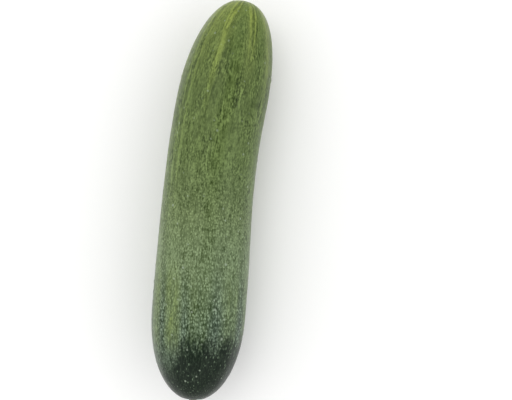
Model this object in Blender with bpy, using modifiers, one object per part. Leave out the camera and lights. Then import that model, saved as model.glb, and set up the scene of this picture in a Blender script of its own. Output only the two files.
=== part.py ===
"""A cucumber lying on its side, modelled as the one solid that the fruit is.

Metres, +Z up. The fruit lies along X, with its stem end at -X and its blossom end at +X. It rests on
the plane z = 0, and the origin is on that plane under the middle of its bounding box.
"""

import math
from typing import NamedTuple

import bpy


class Scar(NamedTuple):
    """A round pit in a tip of the fruit, with a low stub in its middle."""

    pit_radius: float
    pit_depth: float
    stub_radius: float
    stub_height: float


# Driving dimensions
LENGTH = 0.207
STEM_RADIUS = 0.0242
BLOSSOM_RADIUS = 0.0233
END_LIFT = 0.0020  # how far each tip is raised above a level axis
FOOT_SINK = 0.0005  # how much of the underside is pressed flat where the fruit rests

# Stations run from 0 at the stem tip to 1 at the blossom tip
SWELL_FROM, SWELL_TO = 0.25, 0.54  # where the girth goes from the stem radius to the blossom radius
BEND_FROM, BEND_TO = 0.38, 0.90  # where the fruit is bent, and it is straight on either side
BEND = math.radians(9.7)

# The ends: the length over which each one rounds off, and how blunt it is (2 is an ellipse)
STEM_CAP = 0.046
STEM_BLUNTNESS = 2.1
BLOSSOM_CAP = 0.057
BLOSSOM_BLUNTNESS = 2.3

# The cross-section: three seed chambers make it faintly three-sided, and ten strands make low ribs
CHAMBERS = 3
CHAMBER_SWELL = 0.00035
RIBS = 10
RIB_HEIGHT_MIDDLE = 0.00003
RIB_HEIGHT_BLOSSOM = 0.00014
RIB_HEIGHT_STEM = 0.00010
RIB_PHASE = math.radians(13)
RIB_END_SPAN = 0.35  # the share of the length over which the ribs of an end die away

# Uneven growth: for each wave its height, its turns along the fruit, its turns round it and its phase
GROWTH_WAVES = ((0.00009, 1.4, 1, 0.6), (0.00007, 2.6, -2, 1.1))

# The round scar where the stem broke off, and the smaller one that the flower left
STEM_SCAR = Scar(pit_radius=0.0060, pit_depth=0.0018, stub_radius=0.0031, stub_height=0.0015)
BLOSSOM_SCAR = Scar(pit_radius=0.0042, pit_depth=0.0010, stub_radius=0.0019, stub_height=0.0007)
PIT_FLOOR = 0.45  # the flat floor of a pit, as a share of its radius
STUB_TOP, STUB_FOOT = 0.60, 1.15  # the flat top and the foot of a stub, as shares of its radius

# How finely the solid is faceted
RINGS = 58
SEGMENTS = 70
END_CROWDING = 0.5  # 0 spaces the rings evenly round the ends, and nearly 1 crowds them into the scars

SKIN_COLOUR = (0.140, 0.190, 0.075, 1.0)
SKIN_ROUGHNESS = 0.42
MERGE_DISTANCE = 0.00001
SHARP_ANGLE = math.radians(50)
LOWEST = -math.pi / 2  # the angle round the axis that faces the table


def share_between(low, high, value):
    """0 at low and below, 1 at high and above, and in proportion between them."""
    return min(max((value - low) / (high - low), 0.0), 1.0)


def smoothstep(low, high, value):
    """0 below low, 1 above high, and a smooth step between them."""
    share = share_between(low, high, value)
    return share * share * (3 - 2 * share)


def smoothstep_area(low, high, value):
    """The area under the same smooth step, up to value."""
    share = share_between(low, high, value)
    return (high - low) * (share**3 - share**4 / 2) + max(value - high, 0.0)


def rounding(distance, cap, bluntness):
    """The share of the full girth at a distance from a tip, where the end rounds off over cap."""
    return (1 - (1 - share_between(0, cap, distance)) ** bluntness) ** (1 / bluntness)


def girth(station):
    """The radius of the body at a station, before its ends are rounded off."""
    return STEM_RADIUS + (BLOSSOM_RADIUS - STEM_RADIUS) * smoothstep(SWELL_FROM, SWELL_TO, station)


def end_rounding(station):
    """How much of the girth is left at a station once both ends are rounded off."""
    stem = rounding(station * LENGTH, STEM_CAP, STEM_BLUNTNESS)
    blossom = rounding((1 - station) * LENGTH, BLOSSOM_CAP, BLOSSOM_BLUNTNESS)
    return stem * blossom


def rib_height(station):
    """The height of the ribs, which are plainest where the strands run together at the ends."""
    stem_extra = (RIB_HEIGHT_STEM - RIB_HEIGHT_MIDDLE) * (1 - smoothstep(0, RIB_END_SPAN, station))
    blossom_extra = (RIB_HEIGHT_BLOSSOM - RIB_HEIGHT_MIDDLE) * smoothstep(1 - RIB_END_SPAN, 1, station)
    return RIB_HEIGHT_MIDDLE + stem_extra + blossom_extra


def relief(station, angle):
    """How far the skin stands out from the turned body: chambers, ribs and uneven growth."""
    height = -CHAMBER_SWELL * math.cos(CHAMBERS * (angle - LOWEST))
    height += rib_height(station) * math.cos(RIBS * angle + RIB_PHASE)
    for wave_height, along, around, phase in GROWTH_WAVES:
        height += wave_height * math.sin(2 * math.pi * along * station + around * angle + phase)
    return height


def scar_depth(radius, scar):
    """How far a scar's surface lies below the rounded tip, at a radius from the axis."""
    pit = scar.pit_depth * (1 - smoothstep(PIT_FLOOR * scar.pit_radius, scar.pit_radius, radius))
    stub_from, stub_to = STUB_TOP * scar.stub_radius, STUB_FOOT * scar.stub_radius
    return pit - scar.stub_height * (1 - smoothstep(stub_from, stub_to, radius))


def ring_stations():
    """The stations of the rings from the blossom tip to the stem tip, close together in the scars."""
    for ring in range(RINGS + 1):
        share = 1 - ring / RINGS
        polar = math.pi * share - END_CROWDING * math.sin(2 * math.pi * share) / 2
        yield (1 - math.cos(polar)) / 2


def turned_body():
    """The fruit as a lathe would turn it: straight, upright on Z, its stem tip at the origin."""
    points = [(girth(t) * end_rounding(t), 0.0, t * LENGTH) for t in ring_stations()]
    profile = bpy.data.meshes.new("profile")
    profile.from_pydata(points, [(i, i + 1) for i in range(RINGS)], [])
    turned = bpy.data.objects.new("turned", profile)
    bpy.context.collection.objects.link(turned)

    screw = turned.modifiers.new("Screw", "SCREW")
    screw.axis = "Z"
    screw.angle = 2 * math.pi
    screw.steps = screw.render_steps = SEGMENTS
    screw.use_merge_vertices = True
    screw.merge_threshold = MERGE_DISTANCE

    graph = bpy.context.evaluated_depsgraph_get()
    body = bpy.data.meshes.new_from_object(turned.evaluated_get(graph))
    bpy.data.objects.remove(turned)
    return body


def grown(point):
    """Where the relief and the scars put a point of the turned body: along, aside and up its axis."""
    station = point.z / LENGTH
    radius = math.hypot(point.x, point.y)
    angle = math.atan2(point.y, point.x)
    if station < 0.5:
        along = point.z + scar_depth(radius, STEM_SCAR)
    else:
        along = point.z - scar_depth(radius, BLOSSOM_SCAR)
    radius += relief(station, angle) * radius / girth(station)
    return along, radius * math.cos(angle), radius * math.sin(angle)


def laid_down(along, side, up):
    """A point of the straight fruit after it is bent towards +Y, laid along X and rested on the table."""
    station = along / LENGTH
    before_bend = smoothstep_area(BEND_FROM, BEND_TO, 1)  # the share of the bend that the stem half turns out
    heading = BEND * (before_bend - smoothstep(BEND_FROM, BEND_TO, station))
    bow = BEND * LENGTH * (before_bend * station - smoothstep_area(BEND_FROM, BEND_TO, station))
    axis_height = girth(station) - CHAMBER_SWELL - FOOT_SINK + END_LIFT * (2 * station - 1) ** 2
    x = along - side * math.sin(heading)
    y = bow + side * math.cos(heading)
    return x, y, max(axis_height + up, 0.0)


def centred(points):
    """The points moved level, so that the middle of their bounding box is over the origin."""
    middle = [(min(p[k] for p in points) + max(p[k] for p in points)) / 2 for k in (0, 1)]
    return [(p[0] - middle[0], p[1] - middle[1], p[2]) for p in points]


def skin_material():
    """Waxy green skin, with one colour that averages its streaks and specks."""
    material = bpy.data.materials.new("skin")
    material.use_nodes = True
    shader = material.node_tree.nodes["Principled BSDF"]
    shader.inputs["Base Color"].default_value = SKIN_COLOUR
    shader.inputs["Roughness"].default_value = SKIN_ROUGHNESS
    shader.inputs["Metallic"].default_value = 0.0
    return material


def build_cucumber(collection):
    """The whole fruit as one object."""
    mesh = turned_body()
    mesh.name = "cucumber"
    points = centred([laid_down(*grown(vertex.co)) for vertex in mesh.vertices])
    for vertex, point in zip(mesh.vertices, points):
        vertex.co = point
    mesh.materials.append(skin_material())
    mesh.shade_smooth()
    mesh.set_sharp_from_angle(angle=SHARP_ANGLE)
    fruit = bpy.data.objects.new("cucumber", mesh)
    collection.objects.link(fruit)
    return fruit


def main():
    """Clears the scene and builds the fruit in a collection of its own."""
    for old in list(bpy.data.objects):
        bpy.data.objects.remove(old)
    collection = bpy.data.collections.new("Cucumber")
    bpy.context.scene.collection.children.link(collection)
    build_cucumber(collection)


main()
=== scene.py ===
"""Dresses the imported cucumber: streaked and speckled waxy skin, and a corky scar on each tip.

Metres, +Z up. The fruit lies along X on the plane z = 0, its stem end at -X and its blossom end at +X.
A station runs from 0 at the stem tip to 1 at the blossom tip. An angle round the fruit is 0 towards +Y
and a quarter turn at the top. Grain is a position on the skin, along the fruit and twice across it.
"""

import logging
import math
from dataclasses import dataclass, field, fields
from enum import Enum
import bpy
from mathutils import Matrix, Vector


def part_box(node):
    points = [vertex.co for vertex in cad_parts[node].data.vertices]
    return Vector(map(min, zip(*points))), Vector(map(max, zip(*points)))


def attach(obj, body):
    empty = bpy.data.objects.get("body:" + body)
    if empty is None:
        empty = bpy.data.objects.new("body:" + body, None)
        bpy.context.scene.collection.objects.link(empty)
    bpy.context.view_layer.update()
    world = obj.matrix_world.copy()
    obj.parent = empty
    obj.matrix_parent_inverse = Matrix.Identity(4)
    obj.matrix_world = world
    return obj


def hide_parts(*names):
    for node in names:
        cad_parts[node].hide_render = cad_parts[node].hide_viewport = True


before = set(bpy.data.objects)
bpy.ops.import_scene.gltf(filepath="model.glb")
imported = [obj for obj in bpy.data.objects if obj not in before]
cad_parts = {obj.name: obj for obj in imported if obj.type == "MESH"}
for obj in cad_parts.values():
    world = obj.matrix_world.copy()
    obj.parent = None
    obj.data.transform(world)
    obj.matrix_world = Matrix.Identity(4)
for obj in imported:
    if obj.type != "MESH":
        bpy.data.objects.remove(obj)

from types import SimpleNamespace
from typing import Any, Sequence, Union

import bpy
from mathutils import Matrix, Vector

NODE = "cucumber"
BODY = "root"
TURN = 2 * math.pi

log = logging.getLogger(NODE)

Value = Union["Wire", float, int, str, Sequence[float], bpy.types.ID]
Number = Union["Wire", float]
Colour = tuple[float, float, float, float]
Span = tuple[float, float]


class Ending(Enum):
    """The two ends of the fruit."""

    STEM = "stem"
    BLOSSOM = "blossom"


def srgb(red: int, green: int, blue: int) -> Colour:
    """A colour as a shader takes it, from its three screen values of 0 to 255."""
    return (*(((v / 255 + 0.055) / 1.055) ** 2.4 for v in (red, green, blue)), 1.0)


@dataclass(frozen=True)
class Layer:
    """The size and the strength of one texture on the fruit.

    Args:
        along: The length of one swell or cell along the fruit, in metres.
        around: Its width across the fruit.
        shift: How far the pattern is moved, so that two layers differ.
        detail: How much finer noise lies on the swells.
        roughness: How strong that finer noise is.
        amount: How strong the layer is at the blossom tip.
        below_tip: How much stronger it is below that tip.
        lower: How much stronger it is on the half nearer the stem.
        lowest: How much stronger it is close to the stem end.
    """

    along: float
    around: float
    shift: float = 0.0
    detail: float = 2.0
    roughness: float = 0.5
    amount: float = 1.0
    below_tip: float = 0.0
    lower: float = 0.0
    lowest: float = 0.0


class Wire:
    """One value in a node tree. Arithmetic on wires adds the nodes that work it out."""

    def __init__(self, tree: "Tree", socket: bpy.types.NodeSocket) -> None:
        """Holds an output socket and the tree it belongs to.

        Args:
            tree: The tree that the socket's node is in.
            socket: The output that carries the value.
        """
        self.tree = tree
        self.socket = socket

    def __add__(self, other: Number) -> "Wire":
        """The sum of two values."""
        return self.tree.maths("ADD", self, other)

    def __sub__(self, other: Number) -> "Wire":
        """This value less another."""
        return self.tree.maths("SUBTRACT", self, other)

    def __rsub__(self, other: float) -> "Wire":
        """A number less this value."""
        return self.tree.maths("SUBTRACT", other, self)

    def __mul__(self, other: Number) -> "Wire":
        """The product of two values."""
        return self.tree.maths("MULTIPLY", self, other)

    def __truediv__(self, other: Number) -> "Wire":
        """This value over another."""
        return self.tree.maths("DIVIDE", self, other)

    def __rtruediv__(self, other: float) -> "Wire":
        """A number over this value."""
        return self.tree.maths("DIVIDE", other, self)

    def __pow__(self, other: Number) -> "Wire":
        """This value to a power."""
        return self.tree.maths("POWER", self, other)

    def sin(self) -> "Wire":
        """The sine of an angle."""
        return self.tree.maths("SINE", self)

    def cos(self) -> "Wire":
        """The cosine of an angle."""
        return self.tree.maths("COSINE", self)

    def size(self) -> "Wire":
        """The value without its sign."""
        return self.tree.maths("ABSOLUTE", self)

    def root(self) -> "Wire":
        """The square root."""
        return self.tree.maths("SQRT", self)

    def above(self, floor: Number) -> "Wire":
        """The value, or the floor where it is lower."""
        return self.tree.maths("MAXIMUM", self, floor)

    def clamped(self) -> "Wire":
        """The value held between 0 and 1."""
        return self.tree.maths("ADD", self, 0.0, clamp=True)


def in_use(sockets: Sequence[bpy.types.NodeSocket], name: str | None) -> bpy.types.NodeSocket:
    """Finds a socket among those that a node's options leave in use.

    Args:
        sockets: The node's inputs or its outputs.
        name: The name that the socket shows, or None for the first one.

    Returns:
        The first socket in use that has that name.
    """
    return next(s for s in sockets if s.enabled and (name is None or s.name == name))


class Tree:
    """A node tree that is being written."""

    def __init__(self, group: bpy.types.NodeTree) -> None:
        """Holds the tree that the nodes go in."""
        self.group = group

    def connect(self, value: Value, socket: bpy.types.NodeSocket) -> None:
        """Links a wire to an input, or sets the input to a plain value.

        Args:
            value: The wire or the plain value.
            socket: The input.
        """
        if isinstance(value, Wire):
            self.group.links.new(value.socket, socket)
        else:
            socket.default_value = value

    def node(self, kind: str, inputs: dict[str, Value] | None = None, **options: Any) -> bpy.types.Node:
        """Adds a node.

        Args:
            kind: Blender's name for the type of node.
            inputs: What goes into its inputs, by the name that each one shows.
            options: The node's own options.

        Returns:
            The new node.
        """
        made = self.group.nodes.new(kind)
        for option, value in options.items():
            setattr(made, option, value)
        for name, value in (inputs or {}).items():
            self.connect(value, in_use(made.inputs, name))
        return made

    def out(self, node: bpy.types.Node, name: str | None = None) -> Wire:
        """A node's output of that name, or its first output in use."""
        return Wire(self, in_use(node.outputs, name))

    def maths(self, operation: str, *values: Number, clamp: bool = False) -> Wire:
        """Adds a Math node.

        Args:
            operation: Blender's name for what it does.
            values: What it works on, in order.
            clamp: Whether the result is held between 0 and 1.

        Returns:
            The result.
        """
        made = self.node("ShaderNodeMath", operation=operation, use_clamp=clamp)
        for value, socket in zip(values, made.inputs):
            self.connect(value, socket)
        return self.out(made)

    def vector_maths(self, operation: str, first: Value, second: Value, output: str = "Vector") -> Wire:
        """Adds a Vector Math node.

        Args:
            operation: Blender's name for what it does.
            first: The first vector.
            second: The second vector.
            output: The output to take, which is Value for a length.

        Returns:
            The result.
        """
        made = self.node("ShaderNodeVectorMath", operation=operation)
        self.connect(first, made.inputs[0])
        self.connect(second, made.inputs[1])
        return self.out(made, output)

    def step(self, low: Number, high: Number, value: Number, start: Number = 0.0, end: Number = 1.0) -> Wire:
        """A smooth step of a value.

        Args:
            low: Where the step starts. It may be higher than high.
            high: Where the step is complete.
            value: What is stepped.
            start: The result at low and before it.
            end: The result at high and past it.

        Returns:
            The stepped value.
        """
        return self._range("SMOOTHSTEP", low, high, value, start, end)

    def share(self, low: Number, high: Number, value: Number) -> Wire:
        """How far a value is from low to high in proportion, held between 0 and 1."""
        return self._range("LINEAR", low, high, value, 0.0, 1.0)

    def _range(self, kind: str, low: Number, high: Number, value: Number, start: Number, end: Number) -> Wire:
        """Adds a Map Range node of one kind of interpolation."""
        inputs = {"Value": value, "From Min": low, "From Max": high, "To Min": start, "To Max": end}
        return self.out(self.node("ShaderNodeMapRange", inputs, interpolation_type=kind))

    def vector(self, x: Number, y: Number, z: Number) -> Wire:
        """A vector of three values."""
        return self.out(self.node("ShaderNodeCombineXYZ", {"X": x, "Y": y, "Z": z}))

    def parts(self, vector: Wire) -> tuple[Wire, Wire, Wire]:
        """The three values of a vector."""
        split = self.node("ShaderNodeSeparateXYZ", {"Vector": vector})
        return self.out(split, "X"), self.out(split, "Y"), self.out(split, "Z")

    def stretched(self, grain: Wire, layer: Layer) -> Wire:
        """The grain in a layer's own cells, so that a texture of scale 1 follows the fruit."""
        cells = self.vector_maths("DIVIDE", grain, (layer.along, layer.around, layer.around))
        return self.vector_maths("ADD", cells, (layer.shift, layer.shift, layer.shift))

    def swells(self, grain: Wire, layer: Layer, strength: Number | None = None) -> Wire:
        """Smooth noise of a layer's size.

        Args:
            grain: The position that the noise follows, in metres.
            layer: The size of its swells.
            strength: How strong it is, where that isn't the layer's own amount.

        Returns:
            The noise, from about minus its strength to its strength.
        """
        place = self.stretched(grain, layer)
        inputs = {"Vector": place, "Scale": 1.0, "Detail": layer.detail, "Roughness": layer.roughness}
        noise = self.out(self.node("ShaderNodeTexNoise", inputs), "Fac") * 2.0 - 1.0
        return noise * (layer.amount if strength is None else strength)


class GeometryTree(Tree):
    """A Geometry Nodes tree whose sizes are named inputs."""

    def __init__(self, name: str) -> None:
        """Starts an empty tree with one output.

        Args:
            name: The name of the tree.
        """
        super().__init__(bpy.data.node_groups.new(name, "GeometryNodeTree"))
        self.group.interface.new_socket("Geometry", in_out="OUTPUT", socket_type="NodeSocketGeometry")
        self.settings: dict[str, float] = {}

    def size(self, name: str, value: float) -> Wire:
        """Adds a named input for a size.

        Args:
            name: The name that the input shows.
            value: What the modifier sets it to.

        Returns:
            The input's value in the tree.
        """
        kind = "NodeSocketInt" if isinstance(value, int) else "NodeSocketFloat"
        socket = self.group.interface.new_socket(name, in_out="INPUT", socket_type=kind)
        self.settings[socket.identifier] = value
        return Wire(self, self.node("NodeGroupInput").outputs[name])

    def sizes(self, holder: Any) -> SimpleNamespace:
        """Adds a named input for each number that a dataclass holds.

        Args:
            holder: The dataclass, which holds nothing but numbers.

        Returns:
            The inputs' values, under the fields' own names.
        """
        names = [item.name for item in fields(holder)]
        return SimpleNamespace(
            **{name: self.size(name.replace("_", " ").capitalize(), getattr(holder, name)) for name in names}
        )

    def position(self) -> Wire:
        """The position of the point that a field is worked out for."""
        return self.out(self.node("GeometryNodeInputPosition"))

    def ball(self, segments: int, rings: int) -> Wire:
        """A ball of radius 1 about the origin, with its poles on Z."""
        inputs = {"Segments": self.size("Segments", segments), "Rings": self.size("Rings", rings)}
        return self.out(self.node("GeometryNodeMeshUVSphere", inputs), "Mesh")

    def random(self, low: Number, high: Number, seed: int) -> Wire:
        """A random number for each point, from a fixed seed."""
        inputs = {"Min": low, "Max": high, "Seed": seed}
        return self.out(self.node("FunctionNodeRandomValue", inputs, data_type="FLOAT"))

    def of_point(self, points: Wire, index: Wire, value: Wire, data_type: str = "FLOAT") -> Wire:
        """A value of one point of a scatter, by its index."""
        inputs = {"Geometry": points, "Value": value, "Index": index}
        return self.out(self.node("GeometryNodeSampleIndex", inputs, data_type=data_type, domain="POINT"))

    def stored(self, geometry: Wire, name: str, value: Wire, data_type: str = "FLOAT") -> Wire:
        """Stores a value on the points of the geometry for the material to read.

        Args:
            geometry: The geometry.
            name: The name that the value goes by.
            value: The value at each point.
            data_type: Blender's name for its type.

        Returns:
            The geometry with the value.
        """
        inputs = {"Geometry": geometry, "Name": name, "Value": value}
        options = {"data_type": data_type, "domain": "POINT"}
        return self.out(self.node("GeometryNodeStoreNamedAttribute", inputs, **options))

    def placed(self, geometry: Wire, place: Wire) -> Wire:
        """The geometry with its points at new places."""
        return self.out(self.node("GeometryNodeSetPosition", {"Geometry": geometry, "Position": place}))

    def offset(self, geometry: Wire, by: Wire) -> Wire:
        """The geometry with its points moved."""
        return self.out(self.node("GeometryNodeSetPosition", {"Geometry": geometry, "Offset": by}))

    def piece(self, name: str, geometry: Wire, material: bpy.types.Material) -> bpy.types.Object:
        """Ends the tree, runs it and keeps the result as a plain mesh.

        Args:
            name: The name of the piece and of its modifier.
            geometry: What the tree has made.
            material: The finish of the whole piece.

        Returns:
            The piece, at the origin and with no modifier.
        """
        smooth = self.out(self.node("GeometryNodeSetShadeSmooth", {"Geometry": geometry}))
        real = self.out(self.node("GeometryNodeRealizeInstances", {"Geometry": smooth}))
        dressed = self.out(self.node("GeometryNodeSetMaterial", {"Geometry": real, "Material": material}))
        self.connect(dressed, self.node("NodeGroupOutput").inputs["Geometry"])

        made = bpy.data.objects.new(name, bpy.data.meshes.new(name))
        bpy.context.scene.collection.objects.link(made)
        modifier = made.modifiers.new(name, "NODES")
        modifier.node_group = self.group
        for identifier, value in self.settings.items():
            modifier[identifier] = value
        graph = bpy.context.evaluated_depsgraph_get()
        plain = bpy.data.meshes.new_from_object(
            made.evaluated_get(graph), preserve_all_data_layers=True, depsgraph=graph
        )
        made.modifiers.clear()
        made.data = plain
        plain.name = name
        return made


class MaterialTree(Tree):
    """The node tree of a new material."""

    def __init__(self, name: str) -> None:
        """Starts a material that has only its shader.

        Args:
            name: The name of the material.
        """
        self.material = bpy.data.materials.new(name)
        self.material.use_nodes = True
        super().__init__(self.material.node_tree)
        self.shader = self.group.nodes["Principled BSDF"]

    def set(self, name: str, value: Value) -> None:
        """Wires or sets one of the shader's inputs."""
        self.connect(value, self.shader.inputs[name])

    def attribute(self, name: str, output: str = "Fac") -> Wire:
        """A value that the piece's points hold."""
        return self.out(self.node("ShaderNodeAttribute", attribute_name=name), output)

    def object_place(self) -> Wire:
        """The place of a point in the piece's own coordinates."""
        return self.out(self.node("ShaderNodeTexCoord"), "Object")

    def mix(self, share: Number, first: Value, second: Value) -> Wire:
        """The first colour, or the second one where the share is 1."""
        inputs = {"Factor": share, "A": first, "B": second}
        return self.out(self.node("ShaderNodeMix", inputs, data_type="RGBA"))

    def tinted(self, share: Number, colour: Value, cast: Value) -> Wire:
        """The colour, multiplied by a cast where the share is 1."""
        inputs = {"Factor": share, "A": colour, "B": cast}
        return self.out(self.node("ShaderNodeMix", inputs, data_type="RGBA", blend_type="MULTIPLY"))

    def ramp(self, value: Wire, stops: Sequence[tuple[float, Colour]]) -> Wire:
        """Looks a colour up on a ramp.

        Args:
            value: Where on the ramp to look, from 0 to 1.
            stops: Each stop's place and colour, in order.

        Returns:
            The colour.
        """
        made = self.node("ShaderNodeValToRGB", {"Fac": value})
        elements = made.color_ramp.elements
        while len(elements) < len(stops):
            elements.new(1.0)
        for element, (place, colour) in zip(elements, stops):
            element.position = place
            element.color = colour
        return self.out(made)

    def cells(self, place: Wire) -> tuple[Wire, Wire]:
        """Scatters one dot in each cell of a grid.

        Args:
            place: The position, in cells.

        Returns:
            The distance to the nearest dot in cells, and a random number that belongs to the dot.
        """
        made = self.node("ShaderNodeTexVoronoi", {"Vector": place, "Scale": 1.0}, feature="F1")
        chance = self.node("ShaderNodeSeparateColor", {"Color": self.out(made, "Color")})
        return self.out(made, "Distance"), self.out(chance, "Red")

    def bump(self, height: Wire, depth: float) -> None:
        """Raises the shading by a height, of which 1 stands for a depth in metres."""
        inputs = {"Height": height, "Distance": depth, "Strength": 1.0}
        self.set("Normal", self.out(self.node("ShaderNodeBump", inputs)))


@dataclass(frozen=True)
class BodySizes:
    """The driving dimensions of the solid, which the skin repeats."""

    length: float = 0.207
    stem_radius: float = 0.0242
    blossom_radius: float = 0.0233
    end_lift: float = 0.0020
    foot_sink: float = 0.0005
    swell_from: float = 0.25
    swell_to: float = 0.54
    bend_from: float = 0.38
    bend_to: float = 0.90
    bend: float = math.radians(9.7)
    stem_cap: float = 0.046
    stem_bluntness: float = 2.1
    blossom_cap: float = 0.057
    blossom_bluntness: float = 2.3
    chamber_swell: float = 0.00035


@dataclass(frozen=True)
class ReliefSizes:
    """The low ribs of the solid, and the finer unevenness that only the skin has."""

    rib_height_middle: float = 0.00003
    rib_height_blossom: float = 0.00014
    rib_height_stem: float = 0.00010
    rib_phase: float = math.radians(13)
    rib_end_span: float = 0.35
    dimple_height: float = 0.00009
    streak_height: float = 0.00005
    wart_height: float = 0.00028
    wart_radius_least: float = 0.0008
    wart_radius_most: float = 0.0014
    wart_spacing: float = 0.0034


@dataclass(frozen=True)
class ScarSizes:
    """A round pit in a tip, with a low stub in its middle, as the solid has it."""

    pit_radius: float
    pit_depth: float
    stub_radius: float
    stub_height: float


STEM_SCAR = ScarSizes(pit_radius=0.0060, pit_depth=0.0018, stub_radius=0.0031, stub_height=0.0015)
BLOSSOM_SCAR = ScarSizes(pit_radius=0.0042, pit_depth=0.0010, stub_radius=0.0019, stub_height=0.0007)


class BodyFormulas:
    """The solid's formulas, worked out by the nodes of one tree."""

    def __init__(self, tree: GeometryTree, sizes: BodySizes) -> None:
        """Adds the driving dimensions to a tree as named inputs.

        Args:
            tree: The tree that works the formulas out.
            sizes: The driving dimensions.
        """
        self.tree = tree
        self.size = tree.sizes(sizes)

    def step_area(self, low: Number, high: Number, value: Number) -> Wire:
        """The area under a smooth step, up to a value.

        Args:
            low: Where the step starts.
            high: Where it is complete.
            value: Where the area ends.

        Returns:
            The area.
        """
        share = self.tree.share(low, high, value)
        past = self.tree.maths("SUBTRACT", value, high).above(0.0)
        return self.tree.maths("SUBTRACT", high, low) * (share**3 - share**4 * 0.5) + past

    def rounding(self, distance: Wire, cap: Wire, bluntness: Wire) -> Wire:
        """The share of the full girth at a distance from a tip, where the end rounds off over cap."""
        inner = (1.0 - self.tree.share(0.0, cap, distance)) ** bluntness
        return (1.0 - inner).above(0.0) ** (1.0 / bluntness)

    def girth(self, station: Wire) -> Wire:
        """The radius of the body at a station, before its ends are rounded off."""
        size = self.size
        return self.tree.step(size.swell_from, size.swell_to, station, size.stem_radius, size.blossom_radius)

    def turned_radius(self, station: Wire) -> Wire:
        """The radius of the turned body, with both ends rounded off.

        Args:
            station: The station.

        Returns:
            The radius there.
        """
        size = self.size
        stem = self.rounding(station * size.length, size.stem_cap, size.stem_bluntness)
        blossom = self.rounding((1.0 - station) * size.length, size.blossom_cap, size.blossom_bluntness)
        return self.girth(station) * stem * blossom

    def laid_down(self, geometry: Wire) -> Wire:
        """Bends the upright fruit towards +Y, lays it along X and rests it on the plane z = 0.

        Args:
            geometry: The upright fruit, or a piece of it.

        Returns:
            The same, lying down.
        """
        size = self.size
        side, up, along = self.tree.parts(self.tree.position())
        station = along / size.length
        before_bend = self.step_area(size.bend_from, size.bend_to, 1.0)
        heading = size.bend * (before_bend - self.tree.step(size.bend_from, size.bend_to, station))
        bow = size.bend * size.length * (
            before_bend * station - self.step_area(size.bend_from, size.bend_to, station)
        )
        lift = size.end_lift * (station * 2.0 - 1.0) ** 2
        height = self.girth(station) - size.chamber_swell - size.foot_sink + lift
        x = along - side * heading.sin()
        y = bow + side * heading.cos()
        return self.tree.placed(geometry, self.tree.vector(x, y, (height + up).above(0.0)))


@dataclass(frozen=True)
class Strand:
    """One of the ten strands under the skin, which shows as a pale streak and a broader pale band.

    Args:
        angle: How far left of the top line it runs, in degrees, seen with the blossom end at the top.
        glow: How pale the streak is.
        reach: The station down to which the streak runs from the blossom end.
        merge: The station below which its two lines have run together.
        band: How pale the broad band is.
        shade: How dark the skin beside it is at the blossom end.
        gap: How far each of its two lines runs from its middle.
    """

    angle: float
    glow: float
    reach: float
    merge: float
    band: float
    shade: float
    gap: float = 0.0011


STRANDS = (
    Strand(angle=17, glow=1.0, reach=0.74, merge=0.955, band=0.25, shade=0.6),
    Strand(angle=50, glow=0.36, reach=0.48, merge=0.35, band=1.0, shade=-0.6, gap=0.0023),
    Strand(angle=83, glow=0.75, reach=0.74, merge=0.90, band=0.75, shade=0.4),
    Strand(angle=120, glow=0.9, reach=0.68, merge=0.94, band=0.6, shade=0.2),
    Strand(angle=156, glow=0.6, reach=0.78, merge=0.82, band=0.5, shade=0.7),
    Strand(angle=190, glow=0.6, reach=0.55, merge=0.50, band=0.8, shade=0.3, gap=0.0020),
    Strand(angle=226, glow=0.7, reach=0.76, merge=0.84, band=0.4, shade=0.6),
    Strand(angle=262, glow=1.0, reach=0.72, merge=0.93, band=0.7, shade=0.1),
    Strand(angle=295, glow=0.6, reach=0.78, merge=0.88, band=0.5, shade=0.5),
    Strand(angle=333, glow=1.0, reach=0.885, merge=0.80, band=0.5, shade=1.0),
)


@dataclass(frozen=True)
class StrandTones:
    """What the strands do to the skin above them.

    Args:
        tone: The change of tone by the streaks and by the darker skin beside them.
        streak: How far the skin has turned to the yellow of a streak, from 0 to 1.
        cool: How far the dark skin between strands has turned to a cooler green, from 0 to 1.
        band: How strong the broad pale band is, from 0 to 1.
    """

    tone: Wire
    streak: Wire
    cool: Wire
    band: Wire


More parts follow.
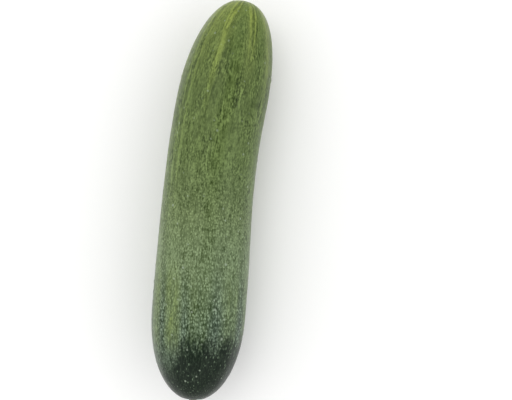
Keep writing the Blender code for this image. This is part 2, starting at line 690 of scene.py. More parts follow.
@dataclass(frozen=True)
class StrandFinish:
    """How the strands show: streaks of two lines with darker skin beside them, and broad pale bands.

    A span is a pair of stations or of distances that a smooth step runs between.
    """

    mean_girth: float = 0.02381
    wander: Layer = Layer(0.020, 0.010, shift=4.0, amount=0.0008)
    ragged: Layer = Layer(0.0060, 0.0020, shift=14.0, detail=3.0, amount=0.0004)
    breaks: Layer = Layer(0.0050, 0.0010, shift=7.0, detail=3.0)
    break_span: Span = (-0.50, 0.20)
    tip_span: Span = (0.0, 0.013)
    tip_spread: float = 0.30
    merge_blur: float = 0.035
    reach_blur: float = 0.07
    fading: Span = (0.94, 0.84)
    half_width: float = 0.0015
    faded_widening: float = 0.0009
    line_share: float = 0.64
    line_core: float = 0.2
    line_tone: float = 0.42
    line_fading: float = 0.04
    side_blur: float = 0.0006
    flank_start: float = 3.2
    flank_full: float = 1.6
    flank_least: float = 0.30
    gap_core: float = 0.25
    shade_span: Span = (0.72, 0.92)
    shade_tone: float = 0.13
    band_half_width: float = 0.0075
    band_core: float = 0.30
    band_mean: float = 0.85
    band_swells: Layer = Layer(0.012, 0.003, shift=6.0, detail=3.0, amount=0.7)

    def tones(self, tree: MaterialTree, grain: Wire, station: Wire) -> StrandTones:
        """Works out what the strands do to the skin.

        Args:
            tree: The material's tree.
            grain: The position on the skin.
            station: The station.

        Returns:
            The changes of tone and colour.
        """
        across, turned, glow = tree.parts(tree.attribute("strand", "Vector"))
        reach, merge, band = tree.parts(tree.attribute("strand_form", "Vector"))
        shade, gap, _ = tree.parts(tree.attribute("strand_sides", "Vector"))
        _, side, up = tree.parts(grain)
        radius = (side * side + up * up) / self.mean_girth
        angle = tree.maths("ARCTAN2", turned, across) / float(len(STRANDS))
        offset = angle * radius + tree.swells(grain, self.wander) + tree.swells(grain, self.ragged)

        spread = tree.step(*self.tip_span, radius, self.tip_spread, 1.0)
        apart = tree.step(merge - self.merge_blur, merge + self.merge_blur, station)
        beside = (offset.size() - apart * spread * gap).size()
        fading = tree.step(*self.fading, station)
        merged = fading * self.faded_widening + self.half_width
        half_width = (merged - apart * (merged - gap * self.line_share)) * spread
        line = tree.step(half_width, half_width * self.line_core, beside)
        on_right = tree.step(self.side_blur, -self.side_blur, offset)
        flank = tree.step(half_width * self.flank_start, half_width * self.flank_full, beside)
        flank = flank * (1.0 - line) * on_right * (shade + self.flank_least)
        broken = tree.step(*self.break_span, tree.swells(grain, self.breaks))
        lasts = tree.step(reach - self.reach_blur, reach + self.reach_blur, station)
        shown = lasts * glow
        between = (1.0 - across) * 0.5 * shade * tree.step(*self.shade_span, station)
        core = tree.step(gap, gap * self.gap_core, offset.size()) * apart
        glowing = line * broken * (self.line_tone - fading * self.line_fading)
        tone = glowing * shown - (flank * shown + core * lasts + between) * self.shade_tone

        wide = tree.step(self.band_half_width, self.band_half_width * self.band_core, offset.size())
        soft = tree.swells(grain, self.band_swells) + self.band_mean
        return StrandTones(tone, line * shown, between, wide * soft * band)


@dataclass(frozen=True)
class StemEndGreenAndShade:
    """Dark stem end, its deep green partly painted shade, with faint streaks, pale dashes and a ragged edge.
    """

    # The stem end's own deep green, made darker still by painted shade where the end curves away from the
    # light.
    dark: Colour = srgb(5, 22, 8)
    pale: Colour = srgb(112, 132, 106)
    edge: float = 0.150
    edge_blur: float = 0.035
    left_span: Span = (0.006, 0.015)
    left_drop: float = 0.057
    left_blur: float = 0.045
    tongues: Layer = Layer(0.060, 0.006, shift=1.0, detail=3.0, amount=0.050)
    speckles: Layer = Layer(0.0022, 0.0012, shift=8.0, amount=0.060)
    streaks: Layer = Layer(0.0060, 0.0008, shift=5.0, detail=3.0, amount=0.20)
    patches: Layer = Layer(0.008, 0.004, shift=21.0, amount=0.5)
    dashes: Layer = Layer(0.0019, 0.0008, shift=12.0, amount=0.9)
    dash_span: Span = (0.40, 1.1)
    dash_size: float = 0.50
    dash_core: float = 0.3
    granule_share: float = 0.14

    def share(self, tree: MaterialTree, grain: Wire, station: Wire) -> Wire:
        """How far the skin has turned to the dark green, partly painted shade, which reaches less far up on
        the left.

        Args:
            tree: The material's tree.
            grain: The position on the skin.
            station: The station.

        Returns:
            The share, from 0 to 1.
        """
        _, side, _ = tree.parts(grain)
        on_left = tree.step(*self.left_span, side)
        edge = on_left * -self.left_drop + self.edge
        blur = on_left * self.left_blur + self.edge_blur
        ragged = tree.swells(grain, self.tongues) + tree.swells(grain, self.speckles)
        return tree.step(edge + blur, edge - blur, station + ragged)

    def colour(self, tree: MaterialTree, grain: Wire, granules: Wire) -> Wire:
        """The dark green, partly painted shade, with its streaks, and with dashes that run to the tip.

        Args:
            tree: The material's tree.
            grain: The position on the skin.
            granules: The pattern of pale granules.

        Returns:
            The colour.
        """
        distance, chance = tree.cells(tree.stretched(grain, self.dashes))
        size = tree.step(*self.dash_span, chance + tree.swells(grain, self.patches)) * self.dash_size
        dashes = tree.step(size, size * self.dash_core, distance) * (chance * self.dashes.amount)
        tone = tree.swells(grain, self.streaks) + dashes + granules * self.granule_share
        return tree.mix(tone.clamped(), self.dark, self.pale)


@dataclass(frozen=True)
class Zone:
    """The colours of the skin at a station: its darkest green and its palest speck."""

    station: float
    dark: Colour
    pale: Colour


@dataclass(frozen=True)
class Reach:
    """How far down the fruit a point lies, by three steps from 0 to 1."""

    below_tip: Wire
    lower: Wire
    lowest: Wire

    def strength(self, layer: Layer) -> Number:
        """How strong a layer is at the point.

        Args:
            layer: The layer.

        Returns:
            Its amount at the blossom tip, with what the point's place adds.
        """
        total: Number = layer.amount
        steps = (self.below_tip, self.lower, self.lowest)
        for step, more in zip(steps, (layer.below_tip, layer.lower, layer.lowest)):
            if more:
                total = step * more + total
        return total


@dataclass(frozen=True)
class SkinFinish:
    """Waxy green skin: streaks at the blossom end, pale specks lower down and a dark stem end that is partly
    painted shade.

    A span is a pair of stations, or of other values, that a smooth step runs between.
    """

    zones: tuple[Zone, ...] = (
        Zone(0.13, srgb(32, 48, 35), srgb(119, 138, 119)),
        Zone(0.20, srgb(31, 49, 34), srgb(124, 144, 124)),
        Zone(0.34, srgb(51, 67, 38), srgb(141, 161, 125)),
        Zone(0.46, srgb(43, 59, 24), srgb(135, 154, 109)),
        Zone(0.60, srgb(40, 56, 22), srgb(126, 147, 91)),
        Zone(0.76, srgb(35, 50, 15), srgb(121, 141, 81)),
        Zone(0.93, srgb(51, 67, 19), srgb(136, 152, 79)),
        Zone(1.00, srgb(74, 89, 29), srgb(146, 161, 79)),
    )
    strands: StrandFinish = StrandFinish()
    stem_end: StemEndGreenAndShade = StemEndGreenAndShade()

    below_tip: Span = (0.94, 0.80)
    lower: Span = (0.70, 0.40)
    lowest: Span = (0.36, 0.20)
    broad: Layer = Layer(0.026, 0.0065, detail=3.0, amount=0.13, lower=0.08)
    mottle: Layer = Layer(0.0060, 0.0026, shift=16.0, amount=0.20)
    streaks: Layer = Layer(0.0032, 0.0007, shift=5.0, amount=0.34, below_tip=0.26, lower=-0.34)
    grains: Layer = Layer(0.0012, 0.0008, shift=9.0, amount=0.42, below_tip=0.17, lowest=0.05)
    patches: Layer = Layer(0.011, 0.005, shift=33.0, amount=1.5)
    least_patch: float = 0.3
    strokes: Layer = Layer(0.0042, 0.0013, shift=41.0, amount=0.08, below_tip=0.18, lowest=-0.12)
    stroke_edge: Span = (0.60, 0.15)
    stroke_chance: Span = (0.40, 0.95)
    specks: Layer = Layer(0.00120, 0.00086, shift=2.0, amount=0.12, lower=0.46, lowest=0.66)
    speck_edge: Span = (0.68, 0.12)
    speck_bend: float = 0.5
    speck_least: float = 0.2
    speck_mean: float = 0.24

    near_tip: Span = (0.84, 0.91)
    near_tip_band: float = 0.08
    band_span: Span = (0.85, 0.45)
    band_tones: Span = (0.06, 0.18)
    tone_span: Span = (-0.30, 1.20)
    mean_tone: float = 0.332

    warm_left: Span = (0.006, 0.024)
    warm_least: float = 0.45
    warm_span: Span = (0.90, 0.62)
    warm_dark: Colour = (1.0, 0.98, 0.55, 1.0)
    warm_pale: Colour = (1.02, 1.0, 0.94, 1.0)
    streak_cast: Colour = (1.02, 1.0, 0.86, 1.0)
    cool_cast: Colour = (0.95, 1.03, 1.22, 1.0)
    lime: Colour = srgb(121, 138, 60)
    lime_start: Span = (0.10, 0.19)
    lime_end: Span = (0.38, 0.24)
    lime_warmth: float = 0.7
    lime_on_pale: float = 0.54
    lime_on_all: float = 0.17
    dot_colour: Colour = srgb(158, 172, 151)
    dot_span: Span = (0.25, 0.70)
    dot_share: float = 0.35
    dot_lower: float = 0.25

    sheen: Layer = Layer(0.006, 0.003, shift=3.0, amount=0.10)
    mean_roughness: float = 0.31
    specular: float = 0.12
    coat: float = 0.05
    coat_roughness: float = 0.22
    pores: Layer = Layer(0.0011, 0.0007, shift=15.0, amount=0.35)
    fine_height: float = 0.6
    bump_depth: float = 0.00005

    def material(self) -> bpy.types.Material:
        """Wires the skin's look.

        Returns:
            The finished material.
        """
        tree = MaterialTree("waxy_skin")
        grain = tree.attribute("grain", "Vector")
        station = tree.attribute("station")
        reach = Reach(*(tree.step(*span, station) for span in (self.below_tip, self.lower, self.lowest)))
        granules = self.granules(tree, grain)
        fine = self.fine_tone(tree, grain, granules, reach)
        strands = self.strands.tones(tree, grain, station)
        near_tip = tree.step(*self.near_tip, station) * self.near_tip_band
        bands = strands.band * (near_tip + tree.step(*self.band_span, station, *self.band_tones))
        tone = tree.step(*self.tone_span, fine + strands.tone + bands + self.mean_tone)

        skin = self.green(tree, grain, station, tone, strands)
        # The stem end's dark green, partly painted shade, laid over the skin by its ragged mask.
        dark_end = self.stem_end.colour(tree, grain, granules)
        skin = tree.mix(self.stem_end.share(tree, grain, station), skin, dark_end)
        dots = tree.step(*self.dot_span, tree.attribute("wart"))
        dots = dots * (reach.lower * self.dot_lower + self.dot_share)
        tree.set("Base Color", tree.mix(dots, skin, self.dot_colour))
        tree.set("Roughness", tree.swells(grain, self.sheen) + self.mean_roughness)
        tree.set("Specular IOR Level", self.specular)
        tree.set("Coat Weight", self.coat)
        tree.set("Coat Roughness", self.coat_roughness)
        tree.bump(tree.swells(grain, self.pores) + fine * self.fine_height, self.bump_depth)
        return tree.material

    def granules(self, tree: MaterialTree, grain: Wire) -> Wire:
        """Pale granules of uneven size and brightness with dark gaps between them.

        Args:
            tree: The material's tree.
            grain: The position on the skin.

        Returns:
            The pattern, from 0 to 1.
        """
        bent = tree.swells(grain, self.specks, self.speck_bend)
        place = tree.vector_maths("ADD", tree.stretched(grain, self.specks), tree.vector(bent, bent, bent))
        distance, chance = tree.cells(place)
        return tree.step(*self.speck_edge, distance) * (chance * (1.0 - self.speck_least) + self.speck_least)

    def fine_tone(self, tree: MaterialTree, grain: Wire, granules: Wire, reach: Reach) -> Wire:
        """Mottle, short streaks, dark strokes and granules as a change of tone.

        Args:
            tree: The material's tree.
            grain: The position on the skin.
            granules: The pattern of pale granules.
            reach: How far down the fruit the point lies, for streaks turn to specks towards the stem.

        Returns:
            The change of tone, about 0 on average.
        """
        broad = tree.swells(grain, self.broad, reach.strength(self.broad))
        mottle = tree.swells(grain, self.mottle)
        streaky = tree.swells(grain, self.streaks, reach.strength(self.streaks))
        grainy = tree.swells(grain, self.grains, reach.strength(self.grains))
        patchy = (tree.swells(grain, self.patches) + 1.0).above(self.least_patch)
        distance, chance = tree.cells(tree.stretched(grain, self.strokes))
        strokes = tree.step(*self.stroke_edge, distance) * tree.step(*self.stroke_chance, chance)
        strokes = strokes * reach.strength(self.strokes)
        specks = (granules - self.speck_mean) * reach.strength(self.specks)
        return broad + mottle + (streaky + grainy) * patchy + specks - strokes

    def green(self, tree: MaterialTree, grain: Wire, station: Wire, tone: Wire, strands: StrandTones) -> Wire:
        """The skin's colour away from the stem end, yellower left of the top, with a lime band.

        Args:
            tree: The material's tree.
            grain: The position on the skin.
            station: The station.
            tone: How pale the skin is, from 0 to 1.
            strands: What the strands do to the skin.

        Returns:
            The colour.
        """
        _, side, up = tree.parts(grain)
        warm = tree.step(*self.warm_left, (side + up) * math.sqrt(0.5), self.warm_least, 1.0)
        lime_here = tree.step(*self.lime_start, station) * tree.step(*self.lime_end, station)
        warm = warm * tree.step(*self.warm_span, station) + strands.band * lime_here * self.lime_warmth
        warm = warm.clamped()
        dark = tree.ramp(station, [(zone.station, zone.dark) for zone in self.zones])
        pale = tree.ramp(station, [(zone.station, zone.pale) for zone in self.zones])
        dark = tree.tinted(warm, dark, self.warm_dark)
        pale = tree.tinted(warm, pale, self.warm_pale)
        skin = tree.tinted(strands.streak, tree.mix(tone, dark, pale), self.streak_cast)
        skin = tree.tinted(strands.cool, skin, self.cool_cast)
        lime = strands.band * (tone * self.lime_on_pale + self.lime_on_all) * lime_here
        return tree.mix(lime.clamped(), skin, self.lime)


@dataclass(frozen=True)
class CorkFinish:
    """Dry, fibrous cork where the fruit broke from its stem or shed its flower, green at its rim."""

    name: str
    light: Colour
    dark: Colour
    rim: Colour
    coarse: Layer = Layer(1 / 900, 1 / 900, detail=4.0, roughness=0.6)
    fine: Layer = Layer(1 / 3200, 1 / 3200, amount=0.4)
    coarse_tone: float = 1.2
    mean_tone: float = 0.55
    hollow_span: Span = (0.42, 0.10)
    hollow_tone: float = 0.45
    rim_span: Span = (0.55, 0.90)
    rim_raggedness: float = 0.30
    mean_roughness: float = 0.80
    roughness_change: float = 0.08
    bump_depth: float = 0.00030

    def material(self) -> bpy.types.Material:
        """Wires the cork's look.

        Returns:
            The finished material.
        """
        tree = MaterialTree(self.name)
        place = tree.object_place()
        coarse = tree.swells(place, self.coarse)
        edge = tree.attribute("edge")
        hollow = tree.step(*self.hollow_span, edge) * self.hollow_tone
        tone = coarse * self.coarse_tone + tree.swells(place, self.fine) + self.mean_tone - hollow
        tone = tone.clamped()
        green = tree.step(*self.rim_span, edge + coarse * self.rim_raggedness)
        tree.set("Base Color", tree.mix(green, tree.mix(tone, self.dark, self.light), self.rim))
        tree.set("Roughness", coarse * self.roughness_change + self.mean_roughness)
        tree.bump(tone, self.bump_depth)
        return tree.material


@dataclass
class Fruit:
    """The skin of the whole fruit.

    A growth wave is a height, its turns along the fruit, its turns round it and its phase.
    """

    body: BodySizes = field(default_factory=BodySizes)
    relief: ReliefSizes = field(default_factory=ReliefSizes)
    finish: SkinFinish = field(default_factory=SkinFinish)
    chamber_count: float = 3.0
    rib_count: float = 10.0
    growth_waves: tuple[tuple[float, float, float, float], ...] = (
        (0.00009, 1.4, 1.0, 0.6),
        (0.00007, 2.6, -2.0, 1.1),
    )
    dimples: Layer = Layer(0.016, 0.011, shift=20.0)
    streaks: Layer = Layer(0.012, 0.0026, shift=30.0, detail=3.0)
    pit_floor: float = 0.45
    stub_top: float = 0.60
    stub_foot: float = 1.15
    twist_span: Span = (0.60, 0.20)
    twist_degrees: float = 19.0
    wart_density: float = 60000.0
    wart_growth: Span = (0.45, 1.0)
    rings: int = 340
    segments: int = 256
    ring_crowding: float = 0.35
    surface_length: float = 0.215
    seed: int = 11

    def build(self) -> bpy.types.Object:
        """Makes the skin as one closed mesh.

        Returns:
            The piece, lying with its stem tip near the origin.
        """
        tree = GeometryTree("fruit")
        formulas = BodyFormulas(tree, self.body)
        size = tree.sizes(self.relief)
        shape = tree.ball(self.segments, self.rings)
        x, y, z = tree.parts(tree.position())
        share = tree.maths("ARCCOSINE", z * -1.0) / math.pi
        polar = share * math.pi + (share * TURN).sin() * (self.ring_crowding / 2)
        station = (1.0 - polar.cos()) / 2.0
        angle = tree.maths("ARCTAN2", y, x)

        radius = formulas.turned_radius(station)
        spread = (radius * formulas.girth(station)).root()
        grain = tree.vector(share * self.surface_length, spread * angle.cos(), spread * angle.sin())
        shape = tree.stored(shape, "station", station)
        shape = tree.stored(shape, "grain", grain, "FLOAT_VECTOR")
        shape = self.with_strands(tree, shape, station, angle)

        height = self.ribs(tree, formulas, size, station, angle)
        height = height + tree.swells(grain, self.dimples, size.dimple_height)
        height = height + tree.swells(grain, self.streaks, size.streak_height)
        full = radius + height * radius / formulas.girth(station)
        along = station * self.body.length + self.scar_shift(tree, station, radius)
        shape = tree.placed(shape, tree.vector(full * angle.cos(), full * angle.sin(), along))
        shape = self.with_warts(tree, size, shape)
        return tree.piece("cucumber_skin", formulas.laid_down(shape), self.finish.material())

    def ribs(
        self, tree: GeometryTree, formulas: BodyFormulas, size: SimpleNamespace, station: Wire, angle: Wire
    ) -> Wire:
        """The solid's own relief: three chambers, ten ribs and uneven growth.

        Args:
            tree: The fruit's tree.
            formulas: The body's formulas.
            size: The relief's sizes in the tree.
            station: The station.
            angle: The angle round the fruit.

        Returns:
            How far the skin stands out from the turned body.
        """
        at_stem = tree.step(size.rib_end_span, 0.0, station)
        at_blossom = tree.step(1.0 - size.rib_end_span, 1.0, station)
        rib = size.rib_height_middle + (size.rib_height_stem - size.rib_height_middle) * at_stem
        rib = rib + (size.rib_height_blossom - size.rib_height_middle) * at_blossom
        chambers = formulas.size.chamber_swell * ((angle + math.pi / 2) * self.chamber_count).cos()
        height = rib * (angle * self.rib_count + size.rib_phase).cos() - chambers
        for wave_height, turns_along, turns_round, phase in self.growth_waves:
            turned = station * (TURN * turns_along) + angle * turns_round + phase
            height = height + turned.sin() * wave_height
        return height

    def scar_shift(self, tree: GeometryTree, station: Wire, radius: Wire) -> Wire:
        """How far the scars move a point along the axis.

        Args:
            tree: The fruit's tree.
            station: The station.
            radius: The point's distance from the axis.

        Returns:
            The shift, inwards at both ends.
        """
        at_stem = tree.maths("LESS_THAN", station, 0.5)
        stem = self.scar_depth(tree, STEM_SCAR, radius)
        blossom = self.scar_depth(tree, BLOSSOM_SCAR, radius)
        return stem * at_stem - blossom * (1.0 - at_stem)

    def scar_depth(self, tree: GeometryTree, scar: ScarSizes, radius: Wire) -> Wire:
        """How far a scar's surface lies below the rounded tip.

        Args:
            tree: The fruit's tree.
            scar: The scar's sizes.
            radius: The distance from the axis.

        Returns:
            The depth there.
        """
        pit = tree.step(scar.pit_radius, scar.pit_radius * self.pit_floor, radius, 0.0, scar.pit_depth)
        foot, top = self.stub_foot * scar.stub_radius, self.stub_top * scar.stub_radius
        return pit - tree.step(foot, top, radius, 0.0, scar.stub_height)

    def with_strands(self, tree: GeometryTree, shape: Wire, station: Wire, angle: Wire) -> Wire:
        """Stores where the strands run, and how each one looks, for the finish to read.

        Args:
            tree: The fruit's tree.
            shape: The mesh, before it is shaped.
            station: The station.
            angle: The angle round the fruit.

        Returns:
            The mesh with three more attributes.
        """
        twist = tree.step(*self.twist_span, station, 0.0, self.twist_degrees)
        degrees = tree.maths("FLOORED_MODULO", 90.0 - angle * (360 / TURN) + twist, 360.0)
        ring = (STRANDS[-1], *STRANDS, STRANDS[0])
        starts = (STRANDS[-1].angle - 360, *(s.angle for s in STRANDS), STRANDS[0].angle + 360)
        count: Number = 0.0
        names = ("glow", "reach", "merge", "band", "shade", "gap")
        looks: dict[str, Number] = {name: getattr(ring[0], name) for name in names}
        for index in range(len(ring) - 1):
            passed = tree.share(starts[index], starts[index + 1], degrees)
            count = passed + count
            for name in names:
                change = getattr(ring[index + 1], name) - getattr(ring[index], name)
                looks[name] = passed * change + looks[name]
        turned = count * TURN
        stored = {
            "strand": (turned.cos(), turned.sin(), looks["glow"]),
            "strand_form": (looks["reach"], looks["merge"], looks["band"]),
            "strand_sides": (looks["shade"], looks["gap"], 0.0),
        }
        for name, values in stored.items():
            shape = tree.stored(shape, name, tree.vector(*values), "FLOAT_VECTOR")
        return shape

    def with_warts(self, tree: GeometryTree, size: SimpleNamespace, shape: Wire) -> Wire:
        """Raises low warts, scattered with a fixed seed, and stores where they are.

        Args:
            tree: The fruit's tree.
            size: The relief's sizes in the tree.
            shape: The upright fruit.

        Returns:
            The fruit with its warts.
        """
        scatter = tree.node(
            "GeometryNodeDistributePointsOnFaces",
            {
                "Mesh": shape,
                "Distance Min": size.wart_spacing,
                "Density Max": self.wart_density,
                "Seed": self.seed,
            },
            distribute_method="POISSON",
        )
        points = tree.out(scatter, "Points")
        nearest = tree.out(tree.node("GeometryNodeSampleNearest", {"Geometry": points}, domain="POINT"))
        girth = tree.random(size.wart_radius_least, size.wart_radius_most, self.seed)
        luck = tree.random(0.0, 1.0, self.seed + 1)
        middle = tree.of_point(points, nearest, tree.position(), "FLOAT_VECTOR")
        grown = tree.step(*self.wart_growth, tree.of_point(points, nearest, luck))
        radius = tree.of_point(points, nearest, girth)
        distance = tree.vector_maths("DISTANCE", tree.position(), middle, "Value")
        rise = tree.step(radius, 0.0, distance) * grown
        shape = tree.stored(shape, "wart", rise)
        normal = tree.out(tree.node("GeometryNodeInputNormal"))
        height = rise * size.wart_height * radius / size.wart_radius_most
        return tree.offset(shape, tree.vector_maths("MULTIPLY", normal, tree.vector(height, height, height)))

    def tip(self, skin: bpy.types.Object, ending: Ending) -> Vector:
        """Finds where the axis comes out of the skin.

        Args:
            skin: The piece.
            ending: Which end to look at.

        Returns:
            The point on that tip.
        """
        stations = skin.data.attributes["station"].data
        choose = min if ending is Ending.STEM else max
        return skin.data.vertices[choose(range(len(stations)), key=lambda i: stations[i].value)].co.copy()


@dataclass
class Scar:
    """The dry cork on the stub at one tip, with the ends of the strands that ran through it.

    The layers follow a ball of radius 1 that the cork is made from.
    """

    ending: Ending
    pit: ScarSizes
    finish: CorkFinish
    body: BodySizes = field(default_factory=BodySizes)
    cork_share: float = 0.88
    thickness: float = 0.0013
    stand: float = 0.00016
    unevenness: float = 0.00034
    outline: Layer = Layer(0.45, 0.45, shift=14.0, detail=3.0, amount=0.34)
    surface: Layer = Layer(0.30, 0.30, shift=5.0, detail=4.0, roughness=0.6)
    widening: float = -0.45
    least_edge: float = 0.001
    strand_ends: int = 10
    ring_share: float = 0.62
    strand_radius: float = 0.00026
    strand_scales: Span = (0.7, 1.25)
    strand_detail: int = 2
    rings: int = 40
    segments: int = 72
    seed: int = 5

    def build(self) -> bpy.types.Object:
        """Makes the cork as a low, rough button that is sunk in the skin.

        Returns:
            The piece, before it is moved with the fruit.
        """
        name = f"{self.ending.value}_scar"
        tree = GeometryTree(name)
        formulas = BodyFormulas(tree, self.body)
        radius = tree.size("Cork radius", self.pit.stub_radius * self.cork_share)
        join = tree.node("GeometryNodeJoinGeometry")
        for shape in (self.strand_knobs(tree, radius), self.button(tree, radius)):
            tree.connect(shape, join.inputs[0])
        shape = self.on_tip(tree, tree.out(join))
        return tree.piece(name, formulas.laid_down(shape), self.finish.material())

    def button(self, tree: GeometryTree, radius: Wire) -> Wire:
        """The cork, with its top at the origin.

        Args:
            tree: The scar's tree.
            radius: The cork's radius.

        Returns:
            A closed, flattened ball with a ragged outline.
        """
        thickness = tree.size("Cork thickness", self.thickness)
        ball = tree.ball(self.segments, self.rings)
        place = tree.position()
        x, y, z = tree.parts(place)
        edge = (x * x + y * y).root()
        wide = edge.above(self.least_edge) ** self.widening * (tree.swells(place, self.outline) + 1.0)
        rough = tree.swells(place, self.surface, self.unevenness)
        height = (z - 1.0) * thickness * 0.5 + rough + self.stand
        ball = tree.stored(ball, "edge", edge)
        return tree.placed(ball, tree.vector(x * wide * radius, y * wide * radius, height))

    def strand_knobs(self, tree: GeometryTree, radius: Wire) -> Wire:
        """A ring of small knobs where the strands end.

        Args:
            tree: The scar's tree.
            radius: The cork's radius.

        Returns:
            The knobs as real geometry.
        """
        vertices = tree.size("Strand ends", self.strand_ends)
        ring = tree.node("GeometryNodeMeshCircle", {"Vertices": vertices, "Radius": radius * self.ring_share})
        raised = tree.offset(tree.out(ring), tree.vector(0.0, 0.0, self.stand * 0.5))
        size = tree.size("Strand radius", self.strand_radius)
        knob = tree.node("GeometryNodeMeshIcoSphere", {"Radius": size, "Subdivisions": self.strand_detail})
        scale = tree.random(*self.strand_scales, self.seed)
        inputs = {"Points": raised, "Instance": tree.out(knob, "Mesh"), "Scale": scale}
        knobs = tree.out(tree.node("GeometryNodeInstanceOnPoints", inputs))
        return tree.out(tree.node("GeometryNodeRealizeInstances", {"Geometry": knobs}))

    def on_tip(self, tree: GeometryTree, shape: Wire) -> Wire:
        """Moves the cork from the origin to the top of the stub, facing out of the fruit.

        Args:
            tree: The scar's tree.
            shape: The cork.

        Returns:
            The cork on the upright fruit.
        """
        side, up, out = tree.parts(tree.position())
        depth = self.pit.pit_depth - self.pit.stub_height
        if self.ending is Ending.STEM:
            return tree.placed(shape, tree.vector(side, up * -1.0, depth - out))
        return tree.placed(shape, tree.vector(side, up, out + (self.body.length - depth)))


@dataclass(frozen=True)
class Framing:
    """How the fruit lies in the frame, in pixels from the frame's top left corner."""

    width: int = 512
    height: int = 400
    metres_per_pixel: float = 0.000515
    blossom_tip: tuple[float, float] = (245.6, 2.0)
    stem_tip: tuple[float, float] = (192.5, 399.2)


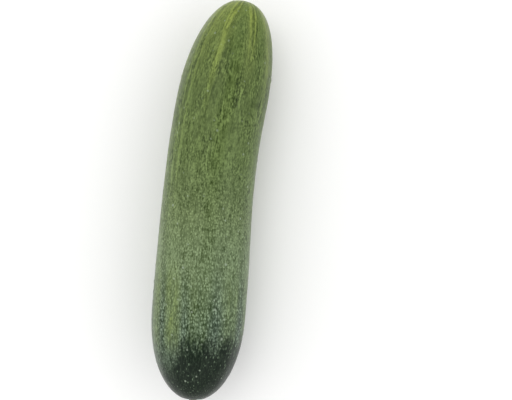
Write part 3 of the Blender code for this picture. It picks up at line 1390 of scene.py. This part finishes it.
@dataclass
class Studio:
    """A pale floor, soft light and a camera that looks straight down on the fruit."""

    framing: Framing = field(default_factory=Framing)
    lens: float = 85.0
    sensor: float = 36.0
    floor_size: float = 8.0
    floor_gap: float = 0.0003
    floor_colour: Colour = srgb(246, 246, 245)
    floor_shade: Colour = srgb(238, 238, 236)
    floor_grain: Layer = Layer(1 / 400, 1 / 400, amount=0.06)
    floor_roughness: float = 0.9
    floor_specular: float = 0.1
    sky_colour: Colour = (1.0, 1.0, 1.0, 1.0)
    horizon_light: float = 0.92
    ring_light: float = 1.58
    zenith_light: float = 0.30
    ring_span: Span = (0.10, 0.45)
    overhead_span: Span = (0.66, 0.95)
    lamp_place: tuple[float, float, float] = (0.35, 0.40, 1.40)
    lamp_size: float = 0.9
    lamp_power: float = 3.5

    def build(self, stem_tip: Vector, blossom_tip: Vector) -> None:
        """Makes the floor, the light and the camera.

        Args:
            stem_tip: Where the stem tip of the fruit is.
            blossom_tip: Where its blossom tip is.
        """
        self.lay_floor()
        self.hang_lamp((stem_tip + blossom_tip) / 2)
        self.light_sky()
        self.set_camera(stem_tip, blossom_tip)

    def lay_floor(self) -> None:
        """A plain floor just under the fruit."""
        half = self.floor_size / 2
        mesh = bpy.data.meshes.new("floor")
        corners = [(-half, -half), (half, -half), (half, half), (-half, half)]
        mesh.from_pydata([(x, y, -self.floor_gap) for x, y in corners], [], [(0, 1, 2, 3)])
        floor = bpy.data.objects.new("floor", mesh)
        bpy.context.scene.collection.objects.link(floor)
        tree = MaterialTree("matt_floor")
        shade = tree.swells(tree.object_place(), self.floor_grain) + self.floor_grain.amount
        tree.set("Base Color", tree.mix(shade, self.floor_colour, self.floor_shade))
        tree.set("Roughness", self.floor_roughness)
        tree.set("Specular IOR Level", self.floor_specular)
        mesh.materials.append(tree.material)

    def hang_lamp(self, target: Vector) -> None:
        """Hangs one large soft lamp, up and to the left of the frame.

        Args:
            target: Where the lamp points.
        """
        lamp = bpy.data.lights.new("soft_lamp", "AREA")
        lamp.shape = "DISK"
        lamp.size = self.lamp_size
        lamp.energy = self.lamp_power
        holder = bpy.data.objects.new("soft_lamp", lamp)
        holder.location = self.lamp_place
        holder.rotation_euler = (target - Vector(self.lamp_place)).to_track_quat("-Z", "Y").to_euler()
        bpy.context.scene.collection.objects.link(holder)

    def light_sky(self) -> None:
        """White light from a broad ring of sky, dimmer overhead so that the wax reflects little of it."""
        scene = bpy.context.scene
        scene.world = scene.world or bpy.data.worlds.new("studio")
        scene.world.use_nodes = True
        tree = Tree(scene.world.node_tree)
        sky = scene.world.node_tree.nodes["Background"]
        _, _, height = tree.parts(tree.out(tree.node("ShaderNodeTexCoord"), "Generated"))
        ring = tree.step(*self.ring_span, height, self.horizon_light, self.ring_light)
        overhead = tree.step(*self.overhead_span, height, 1.0, self.zenith_light / self.ring_light)
        tree.connect(self.sky_colour, sky.inputs["Color"])
        tree.connect(ring * overhead, sky.inputs["Strength"])
        scene.view_settings.view_transform = "Standard"

    def set_camera(self, stem_tip: Vector, blossom_tip: Vector) -> None:
        """Looks straight down, with both tips at their places in the frame.

        Args:
            stem_tip: Where the stem tip of the fruit is.
            blossom_tip: Where its blossom tip is.
        """
        view = self.framing
        data = bpy.data.cameras.new("camera")
        data.lens = self.lens
        data.sensor_width = self.sensor
        camera = bpy.data.objects.new("camera", data)
        bpy.context.scene.collection.objects.link(camera)
        chord = blossom_tip - stem_tip
        seen_right = view.blossom_tip[0] - view.stem_tip[0]
        seen_up = view.stem_tip[1] - view.blossom_tip[1]
        turn = math.atan2(chord.y, chord.x) - math.atan2(seen_up, seen_right)
        to_right = view.width / 2 - (view.blossom_tip[0] + view.stem_tip[0]) / 2
        to_top = (view.blossom_tip[1] + view.stem_tip[1]) / 2 - view.height / 2
        shift = Vector((to_right, to_top, 0.0)) * view.metres_per_pixel
        distance = self.lens / self.sensor * view.width * view.metres_per_pixel
        middle = (stem_tip + blossom_tip) / 2 + Matrix.Rotation(turn, 3, "Z") @ shift
        camera.location = middle + Vector((0.0, 0.0, distance))
        camera.rotation_euler = (0.0, 0.0, turn)
        bpy.context.scene.camera = camera


def centre(points: Sequence[Sequence[float]]) -> Vector:
    """The middle of the box round some points, level with the floor."""
    lows, highs = ([pick(p[k] for p in points) for k in (0, 1)] for pick in (min, max))
    return Vector(((lows[0] + highs[0]) / 2, (lows[1] + highs[1]) / 2, 0.0))


def main() -> None:
    """Builds the skin, its scars and the studio."""
    logging.basicConfig(level=logging.INFO, format="%(message)s")
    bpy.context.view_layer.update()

    fruit = Fruit()
    skin = fruit.build()
    shift = centre(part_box(NODE)) - centre([v.co for v in skin.data.vertices])
    skin.data.transform(Matrix.Translation(shift))
    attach(skin, BODY)
    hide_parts(NODE)
    log.info("%s: %d faces", skin.name, len(skin.data.polygons))

    cork = CorkFinish("stem_cork", srgb(142, 136, 100), srgb(62, 62, 38), rim=srgb(46, 60, 34))
    husk = CorkFinish("blossom_cork", srgb(156, 148, 98), srgb(92, 90, 48), rim=srgb(104, 116, 52))
    scars = (
        Scar(Ending.STEM, STEM_SCAR, cork),
        Scar(Ending.BLOSSOM, BLOSSOM_SCAR, husk, thickness=0.0008, unevenness=0.00012, strand_radius=0.00016),
    )
    for scar in scars:
        piece = scar.build()
        piece.data.transform(Matrix.Translation(shift))
        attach(piece, BODY)
        log.info("%s: %d faces", piece.name, len(piece.data.polygons))

    Studio().build(fruit.tip(skin, Ending.STEM), fruit.tip(skin, Ending.BLOSSOM))


if __name__ == "__main__":
    main()
